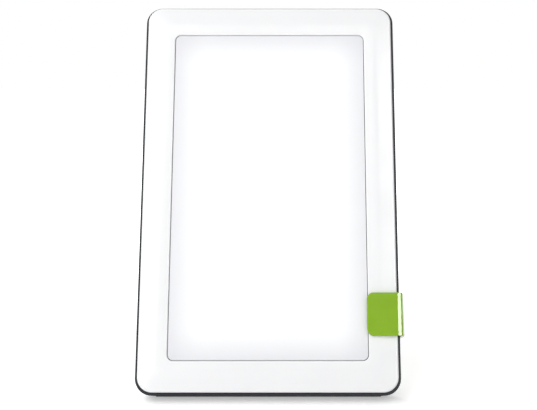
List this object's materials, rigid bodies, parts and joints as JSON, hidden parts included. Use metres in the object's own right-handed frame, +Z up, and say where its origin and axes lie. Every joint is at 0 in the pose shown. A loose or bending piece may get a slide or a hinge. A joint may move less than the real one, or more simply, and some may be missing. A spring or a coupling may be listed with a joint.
{
  "type": "light therapy lamp",
  "caption": "Slim upright light panel with a glowing window in a white frame and dark shell, leaning back on a green clip-on swing stand.",
  "frame": {"origin": "on the table, at the middle of the lamp's box: midway between left and right, and between the front frame and the stand's foot", "axes": "+X to the lamp's right seen from the front, +Y from the glowing face back towards the stand, +Z up from the table"},
  "size_m": [0.159, 0.1175, 0.2319],
  "materials": {
    "frame_white": "high-gloss white moulded plastic",
    "shell_anthracite": "satin, fine spark texture",
    "opal_acrylic": "opal white, softly lit from behind",
    "film_white": "matt white film",
    "clear_acrylic": "clear polished acrylic",
    "foam_black": "fine foam",
    "inner_white": "plain moulded",
    "sheet_aluminium": "mill finish sheet",
    "steel": "zinc plated",
    "board_green": "solder mask on glass-fibre board",
    "board_white": "white solder mask",
    "led_package": "phosphor gel in white package",
    "black_plastic": "moulded black",
    "contact_metal": "plated contact",
    "capacitor_sleeve": "shrink sleeve",
    "ferrite_grey": "sintered",
    "button_grey": "satin light grey",
    "ring_silver": "silver painted trim",
    "label_grey": "blank film label",
    "rubber_black": "soft matt rubber",
    "stand_green": "satin lime green moulded plastic",
    "wire_red": "insulated wire"
  },
  "bodies": {
    "lamp": {"back_plate": "sheet_aluminium", "board_connectors": "inner_white", "board_screws": "steel", "button_board": "board_green", "button_ring": "ring_silver", "button_screws": "steel", "button_wires": "wire_red", "capacitors": "capacitor_sleeve", "dc_jack": "black_plastic", "diffuser": "opal_acrylic", "diffusion_film": "film_white", "driver_board": "board_green", "driver_chip": "black_plastic", "foam_gasket": "foam_black", "front_frame": "frame_white", "heat_spreader_left": "sheet_aluminium", "heat_spreader_right": "sheet_aluminium", "housing_screws": "steel", "inductor": "ferrite_grey", "jack_pin": "contact_metal", "led_board_left": "board_white", "led_board_right": "board_white", "led_wires_left": "wire_red", "led_wires_right": "wire_red", "leds_left": "led_package", "leds_right": "led_package", "light_guide": "clear_acrylic", "mid_frame": "inner_white", "mid_frame_screws": "steel", "plate_screws": "steel", "rating_label": "label_grey", "rear_shell": "shell_anthracite", "reflector_sheet": "film_white", "rubber_strip": "rubber_black", "tact_switch": "black_plastic"},
    "button": {"power_button": "button_grey", "switch_plunger": "black_plastic"},
    "clip": {"stand_clip": "stand_green", "clip_pads": "rubber_black", "hinge_pin": "steel"},
    "leg": {"stand_leg": "stand_green", "leg_foot": "rubber_black"}
  },
  "joints": [
    {"name": "button_push", "type": "slide", "parent": "lamp", "child": "button", "axis": [0, -0.9397, 0.342], "range_m": [0, 0.0008], "stiffness_N_per_m": 2500},
    {"name": "clip_slide", "type": "slide", "parent": "lamp", "child": "clip", "axis": [1, 0, 0], "range_m": [0, 0.03]},
    {"name": "leg_swing", "type": "hinge", "parent": "clip", "child": "leg", "pos_m": [0.05495, -0.0206, 0.04195], "axis": [0, 0.342, 0.9397], "range_deg": [0, 62]}
  ]
}
